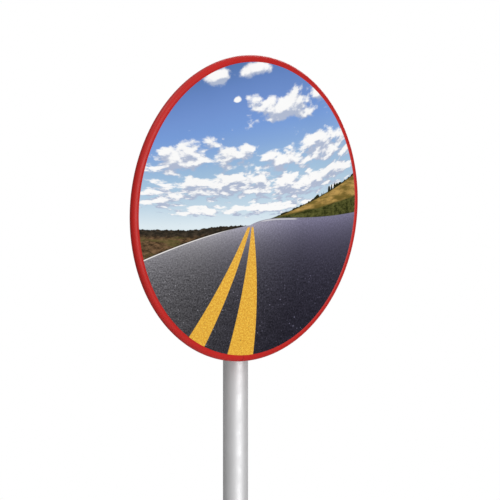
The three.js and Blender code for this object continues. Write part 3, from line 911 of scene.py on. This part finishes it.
def makeEdge():
    # the bead's section, from the front lip round the outside to the rear lip, then the slot
    slotBack = bead["flangeDepth"] + playGap
    lipAngle = 90 + math.degrees(math.asin((bead["circle"] - lens["lip"]) / bead["radius"]))
    rearAngle = -180 + math.degrees(math.asin(slotBack / bead["radius"]))
    section = arc(bead["radius"], lipAngle, rearAngle, 48)
    floorX = bead["slotFloor"] - bead["circle"]
    section += [(floorX, -slotBack), (floorX, lensFront(bead["slotFloor"]) + playGap)]
    mesh = bpy.data.meshes.new("edgeTrim")
    count = len(section)
    mesh.from_pydata([(x, y, 0) for x, y in section], [(i, (i + 1) % count) for i in range(count)], [])
    joint = bead["joint"] / bead["circle"]
    values = {"Radius": float(bead["circle"]), "Joint": joint, "Steps": 288, "Finish": redEdge}
    trim = grown(link("edgeTrim", mesh), sweptRound, values, Matrix.Identity(4))
    work = bmesh.new()
    work.from_mesh(trim.data)
    bmesh.ops.remove_doubles(work, verts=work.verts, dist=1e-4)
    bmesh.ops.recalc_face_normals(work, faces=work.faces)
    work.to_mesh(trim.data)
    work.free()
    trim.data.transform(headPlace @ toFront)
    shade(trim.data)
    hand(trim, "mirror_head", "red_edge", redEdge, "edge_trim")


# the steel bracket on the shell's back; the shell's bolt holes follow it
mount = {"width": 180, "height": 120, "corner": 8, "boltX": 75, "boltZ": 45, "hole": 4.3,
         "earInner": 33.5, "earRoot": 26, "earRadius": 12}
shell = {"neck": 281.3, "pad": 112, "shoulder": 268, "rimDepth": 10, "wall": 2.5, "skin": 0.6,
         "boltHole": 4.3, "drainHole": 3, "drainSpacing": 60, "drainDrop": 235}


def shellBack(radius):
    along = (radius - shell["pad"]) / (shell["neck"] - shell["pad"])
    return headDepths["pad"] - (headDepths["pad"] - shell["rimDepth"]) * max(along, 0) ** 2


def makeShell():
    # a dish with a flat pad in the middle, a steep neck, and a flange caught in the bead's slot
    pad, neck, wall, skin = headDepths["pad"], shell["neck"], shell["wall"], shell["skin"]
    edge, flange = lens["edge"], bead["flangeDepth"]
    crownStart = shell["pad"] + 8
    crown = [crownStart + (shell["shoulder"] - crownStart) * i / 18 for i in range(19)]
    outer = [(0, pad), (shell["pad"], pad), (shell["pad"] + 3, pad - 1.6)]
    outer += [(r, shellBack(r) - skin) for r in crown]
    outer += [(neck - 6, 9), (neck - 2.6, 6), (neck - 0.6, 3), (neck, flange), (edge, flange)]
    inner = [(edge, flange - wall), (neck - 1, flange - wall), (neck - 3, flange), (neck - 5.5, 4.8)]
    inner += [(r - 1, shellBack(r) - wall - skin) for r in reversed(crown)]
    inner += [(shell["pad"] - 1, pad - wall), (0, pad - wall)]
    profile = softened(outer + inner, 1.2, closed=False)
    dish = turned("backShell", profile, headPlace @ toBack, 200, False)
    rods = []
    for x, z in fourCorners:
        place = headPlace @ Matrix.Translation((x * mount["boltX"], 0, z * mount["boltZ"])) @ toBack
        rods.append(rod(shell["boltHole"], -10, 40, place, 32))
    for x in (-1, 0, 1):
        spot = Matrix.Translation((x * shell["drainSpacing"], 0, -shell["drainDrop"]))
        rods.append(rod(shell["drainHole"], -10, 40, headPlace @ spot @ toBack, 24))
    combined(dish, rods, "DIFFERENCE")
    hand(dish, "mirror_head", "red_shell", redShell, "back_shell")


ribs = {"count": 24, "start": 124, "end": 262, "half": 3.2, "high": 2.6, "sink": 1.2, "taper": 3.2}


def makeShellRibs():
    # one long ridge along the shell's crown, tapered to nothing at its ends, copied round the axis
    steps, across = 40, 10
    vertices, faces = [], []
    for i in range(steps + 1):
        t = i / steps
        radius = ribs["start"] + (ribs["end"] - ribs["start"]) * t
        swell = min(1, math.sin(math.pi * t) * ribs["taper"])
        for j in range(across + 1):
            angle = math.pi * j / across
            lift = ribs["high"] * math.sin(angle) * swell - ribs["sink"]
            height = shellBack(radius) - shell["skin"] + lift
            vertices.append((radius, ribs["half"] * swell * math.cos(angle), height))
    row = across + 1
    for i in range(steps):
        for j in range(across):
            a = i * row + j
            faces.append((a, a + 1, a + 1 + row, a + row))
        faces.append((i * row + across, i * row, (i + 1) * row, (i + 1) * row + across))
    one = solid("shellRibs", vertices, faces, Matrix.Identity(4))
    ring = grown(one, copiesRound, {"Count": ribs["count"], "Finish": redShell}, headPlace @ toBack)
    hand(ring, "mirror_head", "red_shell", redShell)


def makeBracket():
    # a plate with two ears that reach back to the tilt axis
    front = headDepths["pad"] + playGap
    thick = headDepths["plate"]
    holes = [circleOutline(mount["hole"], (x * mount["boltX"], z * mount["boltZ"])) for x, z in fourCorners]
    outline = rectangle(mount["width"], mount["height"], mount["corner"])
    place = headPlace @ Matrix.Translation((0, front, 0)) @ toBack
    plate = sheet("mirrorBracket", outline, holes, thick, place, 0)
    ear = lug(mount["earRoot"], headDepths["tiltAxis"] - front - 2, mount["earRadius"])
    hole = circleOutline(sizes["m10"]["shank"] + playGap)
    ears = []
    for x in (mount["earInner"] + thick, -mount["earInner"]):
        place = headPlace @ Matrix.Translation((x, headDepths["tiltAxis"], 0)) @ onItsSide
        ears.append(sheet("ear", ear, [hole], thick, place, 0))
    bracket = eased(combined(plate, ears, "UNION"), 0.7)
    hand(bracket, "mirror_head", "bracket_paint", bracketPaint, "mirror_bracket")


def makeBracketWelds():
    # along both sides of each ear's root
    face = headDepths["pad"] + headDepths["plate"] + 2 * playGap
    half = mount["earRoot"] - 1
    inner, outer = mount["earInner"] - 0.4, mount["earInner"] + headDepths["plate"] + 0.4
    paths = [([(x, face, -half), (x, face, half)], False) for x in (inner, outer, -inner, -outer)]
    beads = welds("bracketWelds", paths, headPlace, bracketPaint, 1.8)
    hand(beads, "mirror_head", "bracket_paint", bracketPaint)


def makeBracketBolts():
    size = sizes["m8"]
    face = headDepths["pad"] + headDepths["plate"] + 2 * playGap
    width, height = 2 * mount["boltX"], 2 * mount["boltZ"]
    rings = atFourCorners(washerRing("bracketWashers", size), width, height,
                          headPlace @ Matrix.Translation((0, face, 0)) @ toBack)
    hand(rings, "mirror_head", "zinc_steel", zinc, *[f"bracket_washer_{i}" for i in range(1, 5)])
    seat = face + size["sheet"] + playGap
    bolts = atFourCorners(hexBolt("bracketBolts", size, 20, 14), width, height,
                          headPlace @ Matrix.Translation((0, seat, 0)) @ toBack)
    hand(bolts, "mirror_head", "zinc_steel", zinc, *[f"bracket_bolt_{i}" for i in range(1, 5)])


mirror = makeLens()
makeEdge()
makeShell()
makeShellRibs()
makeBracket()
makeBracketWelds()
makeBracketBolts()
hidden = frame["nodes"]["backing_plate"]
hidden.data.materials.clear()
hidden.data.materials.append(zinc)
print("stage: mirror head made")

# The road the mirror looks along. p runs across and q up from the vanishing point, both as slopes.
road = {
    "away": (0.65286, -0.74483, -0.13783), "roll": 6.22,
    # each cloud's middle, p and q, then its width and height
    "clouds": (
        (0.195, 0.28, 0.175, 0.042), (0.343, 0.167, 0.165, 0.038), (0.122, 0.148, 0.1, 0.026),
        (-0.29, 0.194, 0.15, 0.048), (-0.057, 0.179, 0.1, 0.028), (-0.126, 0.103, 0.32, 0.034),
        (0.19, 0.09, 0.28, 0.035), (0.08, 0.04, 0.26, 0.016), (-0.094, 0.399, 0.062, 0.022),
        (0.094, 0.392, 0.085, 0.02), (-0.023, 0.322, 0.016, 0.009), (0.361, 0.29, 0.06, 0.02),
        (-0.351, 0.076, 0.1, 0.022), (-0.202, 0.041, 0.12, 0.014), (0.421, 0.109, 0.1, 0.018)),
    # sky colours by height
    "sky": (
        (0, (222, 234, 240)), (0.1, (196, 216, 230)), (0.2, (172, 200, 222)), (0.3, (154, 186, 218)),
        (0.4, (134, 168, 216)), (0.5, (119, 155, 214)), (0.6, (113, 146, 206)),
        (0.72, (102, 134, 194)), (0.84, (88, 120, 174)), (1, (80, 110, 164))),
    # each band of yellow paint lies between two edges, p = a + b q + c q q
    "yellow": (((-0.007, 0.58, 0.27), (0.003, 0.345, 0.23)), ((0.006, 0.04, 0.25), (0.012, -0.3, 0.2))),
}


def dotted(tree, direction, axis):
    inputs = {0: direction, 1: tuple(axis)}
    return addNode(tree, "ShaderNodeVectorMath", inputs, operation="DOT_PRODUCT").outputs["Value"]


def lengthOf(tree, value):
    return addNode(tree, "ShaderNodeVectorMath", {0: value}, operation="LENGTH").outputs["Value"]


def vector(tree, x, y, z=0.0):
    return addNode(tree, "ShaderNodeCombineXYZ", {"X": x, "Y": y, "Z": z}).outputs[0]


def plus(tree, first, second):
    return maths(tree, "ADD", first, second)


def minus(tree, first, second):
    return maths(tree, "SUBTRACT", first, second)


def times(tree, first, second):
    return maths(tree, "MULTIPLY", first, second)


def scaled(tree, value, factor, offset):
    return maths(tree, "MULTIPLY_ADD", value, factor, offset)


def slopes(tree):
    away = Vector(road["away"]).normalized()
    levelUp = (upright - away * upright.dot(away)).normalized()
    levelSide = away.cross(levelUp)
    roll = math.radians(road["roll"])
    up = levelUp * math.cos(roll) + levelSide * math.sin(roll)
    side = away.cross(up)
    direction = addNode(tree, "ShaderNodeTexCoord").outputs["Generated"]
    depth = maths(tree, "MAXIMUM", maths(tree, "ABSOLUTE", dotted(tree, direction, away)), 0.6)
    across = maths(tree, "DIVIDE", dotted(tree, direction, -side), depth)
    return across, maths(tree, "DIVIDE", dotted(tree, direction, up), depth)


def cloudDensity(tree, p, q):
    spot = vector(tree, p, q)
    nearest = None
    for x, y, width, height in road["clouds"]:
        away = addNode(tree, "ShaderNodeMapping", {
            "Vector": spot, "Location": (x, y, 0), "Scale": (width, height, 1)}, vector_type="TEXTURE")
        far = lengthOf(tree, away.outputs[0])
        nearest = far if nearest is None else maths(tree, "MINIMUM", nearest, far)
    body = remap(tree, nearest, 0, 1.9, 0.7, -0.62, smooth=False)
    # puffs shrink and flatten toward the horizon
    reach = maths(tree, "DIVIDE", 1, plus(tree, maths(tree, "MAXIMUM", q, 0), 0.16))
    layer = vector(tree, times(tree, p, reach), times(tree, reach, 0.9))
    rough = noise(tree, layer, 4.2, 8, 0.58, 0.15)
    return plus(tree, body, remap(tree, rough, 0.25, 0.75, -0.66, 0.66, smooth=False))


def paintedSky(tree, p, q):
    # pale at the horizon and deep blue high up, with clouds that are grey on their undersides
    ramp = addNode(tree, "ShaderNodeValToRGB", {0: times(tree, q, 2)})
    stops = road["sky"]
    ramp.color_ramp.elements[0].color = rgb(*stops[0][1])
    ramp.color_ramp.elements[1].color = rgb(*stops[-1][1])
    ramp.color_ramp.elements[1].position = stops[-1][0]
    for spot, colour in stops[1:-1]:
        ramp.color_ramp.elements.new(spot).color = rgb(*colour)
    here = cloudDensity(tree, p, q)
    above = cloudDensity(tree, p, plus(tree, q, 0.016))
    lit = remap(tree, minus(tree, above, here), -0.26, 0.2, 1, 0)
    cloud = mixed(tree, lit, rgb(176, 186, 208), rgb(251, 250, 249))
    return mixed(tree, remap(tree, here, -0.06, 0.3), ramp.outputs[0], cloud)


def landPatterns(tree, p, q):
    # what the hill, the verge and the road share: left and right are p on each side of the middle,
    # spot is the view's own plane, and ground is the level ground in perspective
    near = maths(tree, "MAXIMUM", times(tree, q, -1), 0.004)
    spot = vector(tree, p, q)
    return {
        "left": maths(tree, "MAXIMUM", maths(tree, "MINIMUM", p, 0), -0.45),
        "beyond": maths(tree, "MINIMUM", plus(tree, p, 0.45), 0),
        "right": maths(tree, "MINIMUM", maths(tree, "MAXIMUM", p, 0), 0.65),
        "spot": spot,
        "ground": vector(tree, maths(tree, "DIVIDE", p, near), maths(tree, "DIVIDE", 0.4, near)),
        "clumps": noise(tree, stretched(tree, spot, (62, 6, 1)), 1, 4, 0.6),
        "scrub": noise(tree, stretched(tree, spot, (45, 120, 1)), 1, 7, 0.7),
        "patches": noise(tree, stretched(tree, spot, (9, 60, 1)), 1, 4, 0.6),
        "stones": noise(tree, stretched(tree, spot, (170, 210, 1)), 1, 2, 0.9),
    }


def paintedHill(tree, sky, land, p, q):
    # golden hill on the right, green along its foot, with small dark trees on its skyline
    scrub, patches, right = land["scrub"], land["patches"], land["right"]
    tall = times(tree, remap(tree, p, 0.27, 0.33), remap(tree, p, 0.45, 0.39))
    trees = times(tree, remap(tree, land["clumps"], 0.42, 0.56), scaled(tree, tall, 0.0085, 0.0025))
    crest = scaled(tree, right, 0.168, -0.001)
    gold = mixed(tree, remap(tree, patches, 0.38, 0.62), rgb(112, 96, 44), rgb(196, 158, 90))
    gold = mixed(tree, remap(tree, scrub, 0.4, 0.7, 0, 0.55), gold, rgb(104, 82, 44))
    green = mixed(tree, remap(tree, scrub, 0.35, 0.68), rgb(40, 44, 18), rgb(98, 98, 52))
    greenTop = scaled(tree, right, 0.05, scaled(tree, patches, 0.016, 0.004))
    hill = mixed(tree, remap(tree, minus(tree, q, greenTop), -0.003, 0.003), green, gold)
    under = minus(tree, crest, q)
    hill = mixed(tree, remap(tree, under, 0.0035, 0.0005), hill, rgb(60, 58, 30))
    onHill = times(tree, remap(tree, under, -0.001, 0.0012), remap(tree, p, 0, 0.01))
    view = mixed(tree, onHill, sky, hill)
    onTrees = remap(tree, plus(tree, under, trees), -0.0004, 0.001)
    onTrees = times(tree, onTrees, remap(tree, under, 0.003, 0.0015))
    reach = times(tree, remap(tree, p, 0.1, 0.13), remap(tree, trees, 0, 0.001))
    return mixed(tree, times(tree, onTrees, reach), view, rgb(42, 42, 24))


def paintedVerge(tree, view, land, leftEdge, p, q):
    # trees and rough grass on the left, a painted shadow where the grass meets the road, then a meadow
    scrub, patches = land["scrub"], land["patches"]
    ragged = scaled(tree, land["clumps"], 0.014, -0.007)
    treeTop = plus(tree, remap(tree, p, -0.1, -0.25, 0, -0.009), ragged)
    depth = minus(tree, treeTop, q)
    grass = mixed(tree, remap(tree, scrub, 0.36, 0.66), rgb(58, 44, 30), rgb(128, 100, 72))
    grass = mixed(tree, remap(tree, patches, 0.5, 0.62, 0, 0.6), grass, rgb(92, 88, 48))
    tufts = noise(tree, stretched(tree, land["ground"], (12, 20, 1)), 1, 8, 0.72)
    meadow = mixed(tree, remap(tree, tufts, 0.36, 0.66), rgb(70, 78, 38), rgb(138, 134, 82))
    grass = mixed(tree, remap(tree, scaled(tree, tufts, 0.4, p), -0.32, -0.72), grass, meadow)
    wood = mixed(tree, remap(tree, scrub, 0.4, 0.7), rgb(40, 36, 30), rgb(74, 64, 52))
    belowWood = plus(tree, depth, times(tree, patches, 0.014))
    verge = mixed(tree, remap(tree, belowWood, 0.02, 0.034), wood, grass)
    # painted shadow: the grass turns near-black just above the road's left edge
    paintedShadowByRoad = remap(tree, minus(tree, q, leftEdge), 0.008, 0.001, 0, 0.75)
    verge = mixed(tree, paintedShadowByRoad, verge, rgb(36, 30, 22))
    onVerge = times(tree, remap(tree, depth, -0.0008, 0.001), remap(tree, p, 0, -0.03))
    return mixed(tree, onVerge, view, verge)


def paintedAsphalt(tree, land, p, q):
    # lighter far away and to the left, speckled in perspective
    fade = maths(tree, "EXPONENT", maths(tree, "DIVIDE", maths(tree, "MINIMUM", q, 0), 0.075))
    side = scaled(tree, maths(tree, "MAXIMUM", p, -0.5), -1.1, 0.275)
    side = maths(tree, "MAXIMUM", maths(tree, "EXPONENT", side), 1.02)
    level = times(tree, scaled(tree, fade, 80 / 255, 42 / 255), side)
    close = remap(tree, q, -0.03, -0.2)
    grit = remap(tree, land["stones"], 0.3, 0.7, -0.4, 0.4, smooth=False)
    grit = times(tree, grit, remap(tree, close, 0, 1, 0.3, 1))
    lanes = noise(tree, stretched(tree, land["ground"], (5, 9, 1)), 1, 6, 0.7)
    lanes = remap(tree, lanes, 0.3, 0.7, 0.88, 1.12, smooth=False)
    level = times(tree, level, plus(tree, grit, lanes))
    chips = noise(tree, stretched(tree, land["spot"], (120, 150, 1)), 1, 1, 0.5)
    chips = times(tree, remap(tree, chips, 0.68, 0.78, 0, 0.34), close)
    level = plus(tree, level, chips)
    tint = mixed(tree, remap(tree, p, -0.25, 0.35), (1, 0.985, 1.02, 1), (0.965, 0.935, 1.13, 1))
    toned = addNode(tree, "ShaderNodeVectorMath", {0: tint, 3: level}, operation="SCALE").outputs[0]
    return addNode(tree, "ShaderNodeGamma", {0: toned, 1: 2.2}).outputs[0]


def paintedDoubleLine(tree, asphalt, land, p, q):
    # yellow paint, worn and speckled
    wear = remap(tree, noise(tree, land["ground"], 40, 5, 0.7), 0.3, 0.42)
    speckle = remap(tree, land["stones"], 0.4, 0.66)
    yellow = mixed(tree, speckle, rgb(224, 162, 56), rgb(255, 206, 80))
    square = times(tree, q, q)
    for band in road["yellow"]:
        cover = times(tree, wear, remap(tree, q, -0.002, -0.008))
        for way, (a, b, c) in zip((1, -1), band):
            line = scaled(tree, square, c, scaled(tree, q, b, a))
            gap = times(tree, minus(tree, p, line), way)
            cover = times(tree, cover, remap(tree, gap, -0.001, 0.001))
        asphalt = mixed(tree, times(tree, cover, 0.95), asphalt, yellow)
    return asphalt


def paintedRoadEdges(tree, view, asphalt, land, leftEdge, p, q):
    # the road up to its two edges, with a white line along each
    right = land["right"]
    bulge = maths(tree, "EXPONENT", times(tree, right, -10))
    edge = plus(tree, leftEdge, times(tree, times(tree, right, 0.35), bulge))
    view = mixed(tree, remap(tree, minus(tree, edge, q), -0.0008, 0.0012), view, asphalt)
    thick = scaled(tree, land["left"], -0.0036, 0.0004)
    offLine = maths(tree, "ABSOLUTE", minus(tree, q, leftEdge))
    onLine = remap(tree, minus(tree, offLine, thick), 0.0006, -0.0006)
    onLine = times(tree, onLine, remap(tree, p, -0.05, -0.14))
    view = mixed(tree, onLine, view, rgb(240, 236, 232))
    offLine = maths(tree, "ABSOLUTE", minus(tree, minus(tree, edge, 0.003), q))
    reach = times(tree, remap(tree, p, 0.03, 0.07), remap(tree, p, 0.21, 0.19))
    onLine = times(tree, remap(tree, offLine, 0.0022, 0.0006), reach)
    return mixed(tree, times(tree, onLine, 0.8), view, rgb(214, 212, 214))


def paintedGround(tree, sky, p, q):
    land = landPatterns(tree, p, q)
    leftEdge = times(tree, land["left"], scaled(tree, land["left"], -0.4, 0.09))
    leftEdge = scaled(tree, land["beyond"], 0.45, leftEdge)
    view = paintedHill(tree, sky, land, p, q)
    view = paintedVerge(tree, view, land, leftEdge, p, q)
    asphalt = paintedDoubleLine(tree, paintedAsphalt(tree, land, p, q), land, p, q)
    return paintedRoadEdges(tree, view, asphalt, land, leftEdge, p, q)


surroundings = {"reflected": 1.07, "low": 0.2, "high": 0.72, "front": 1.15, "side": 0.42}


def makeWorld(right):
    # seen directly the surroundings are white; sharp reflections show the road; the rest is soft
    # light, weaker from below and from the two sides of the view
    world = bpy.data.worlds.new("surroundings")
    world.use_nodes = True
    bpy.context.scene.world = world
    tree = world.node_tree
    tree.nodes.clear()
    p, q = slopes(tree)
    landscape = paintedGround(tree, paintedSky(tree, p, q), p, q)
    white = (1, 1, 1, 1)
    seen = addNode(tree, "ShaderNodeBackground", {0: landscape, 1: surroundings["reflected"]}).outputs[0]
    heading = addNode(tree, "ShaderNodeTexCoord").outputs["Generated"]
    rise = dotted(tree, heading, upright)
    strength = remap(tree, rise, -0.7, 0.7, surroundings["low"], surroundings["high"], smooth=False)
    aside = maths(tree, "ABSOLUTE", dotted(tree, heading, right))
    aside = remap(tree, aside, 0.2, 1, surroundings["front"], surroundings["side"])
    soft = addNode(tree, "ShaderNodeBackground", {0: white, 1: times(tree, strength, aside)}).outputs[0]
    blank = addNode(tree, "ShaderNodeBackground", {0: white, 1: 1.0}).outputs[0]
    light = addNode(tree, "ShaderNodeLightPath")
    sharp = light.outputs["Is Singular Ray"]
    first = addNode(tree, "ShaderNodeMixShader", {0: sharp, 1: soft, 2: seen}).outputs[0]
    last = addNode(tree, "ShaderNodeMixShader", {0: light.outputs["Is Camera Ray"], 1: first, 2: blank})
    addNode(tree, "ShaderNodeOutputWorld", {0: last.outputs[0]})


# Camera, lights and floor. Turns and climbs are in degrees, shot lengths in millimetres.
shot = {"turn": -42.93, "lens": 184.284, "ahead": 7.95, "right": 1.8, "up": 79.9, "distance": 5000}


def makeCamera():
    # level, turned to one side, and moved off the aim so that the mirror sits where it should
    turn = math.radians(shot["turn"])
    right = Vector((math.cos(turn), math.sin(turn), 0))
    forward = Vector((-math.sin(turn), math.cos(turn), 0))
    aim = headOrigin + headFront * shot["ahead"] * mm
    spot = aim - right * shot["right"] * mm - upright * shot["up"] * mm
    spot = spot - forward * shot["distance"] * mm
    data = bpy.data.cameras.new("camera")
    data.sensor_width = 36
    data.lens = shot["lens"]
    camera = bpy.data.objects.new("camera", data)
    facing = forward.to_track_quat("-Z", "Y").to_matrix().to_4x4()
    camera.matrix_world = Matrix.Translation(spot) @ facing
    bpy.context.scene.collection.objects.link(camera)
    bpy.context.scene.camera = camera
    return right, forward


# Turns are measured to the right of the camera, and lengths are in metres.
lamps = {
    "keyLight": {"turn": 36, "climb": 3, "distance": 4.2, "size": 3.6, "power": 150},
    "topLight": {"turn": -40, "climb": 62, "distance": 3.5, "size": 1.2, "power": 22},
    "backLight": {"turn": 165, "climb": 30, "distance": 4.2, "size": 3, "power": 70},
}
lampAim = Vector((0, 0, 1.3))


def makeLight(name, lamp, right, forward, lit):
    turn, climb = math.radians(lamp["turn"]), math.radians(lamp["climb"])
    level = right * math.sin(turn) - forward * math.cos(turn)
    out = level * math.cos(climb) + upright * math.sin(climb)
    data = bpy.data.lights.new(name, "AREA")
    data.shape = "DISK"
    data.size = lamp["size"]
    data.energy = lamp["power"]
    light = bpy.data.objects.new(name, data)
    facing = (-out).to_track_quat("-Z", "Y").to_matrix().to_4x4()
    light.matrix_world = Matrix.Translation(lampAim + out * lamp["distance"]) @ facing
    bpy.context.scene.collection.objects.link(light)
    light.light_linking.receiver_collection = lit


def makeFloor():
    # pale ground that fades out before its edge
    mesh = bpy.data.meshes.new("floor")
    outline = circleOutline(3000, steps=96)
    mesh.from_pydata([(x, y, -1) for x, y in outline], [], [tuple(range(len(outline)))])
    mesh.transform(postPlace)
    material, tree, shader, where = startMaterial("floor")
    colour = mixed(tree, noise(tree, where, 30, 5), (0.8, 0.8, 0.8, 1), (0.84, 0.84, 0.84, 1))
    clear = addNode(tree, "ShaderNodeBsdfTransparent").outputs[0]
    faded = remap(tree, lengthOf(tree, where), 1.2, 2.9, 0, 1)
    ends = addNode(tree, "ShaderNodeMixShader", {0: faded, 1: shader.outputs[0], 2: clear})
    drive(tree, shader, Base_Color=colour)
    shader.inputs["Roughness"].default_value = 0.7
    tree.links.new(ends.outputs[0], tree.nodes["Material Output"].inputs["Surface"])
    floor = link("floor", mesh)
    floor.data.materials.append(material)
    floor.visible_glossy = False


bpy.context.scene.view_settings.view_transform = "Standard"
cameraRight, cameraForward = makeCamera()
makeWorld(cameraRight)
makeFloor()
litPieces = bpy.data.collections.new("litPieces")  # all but the mirror, which shows no lamps
for item in list(bpy.context.scene.objects):
    if item.type == "MESH" and item is not mirror:
        litPieces.objects.link(item)
for name, lamp in lamps.items():
    makeLight(name, lamp, cameraRight, cameraForward, litPieces)
print("stage: surroundings, camera and lights made")
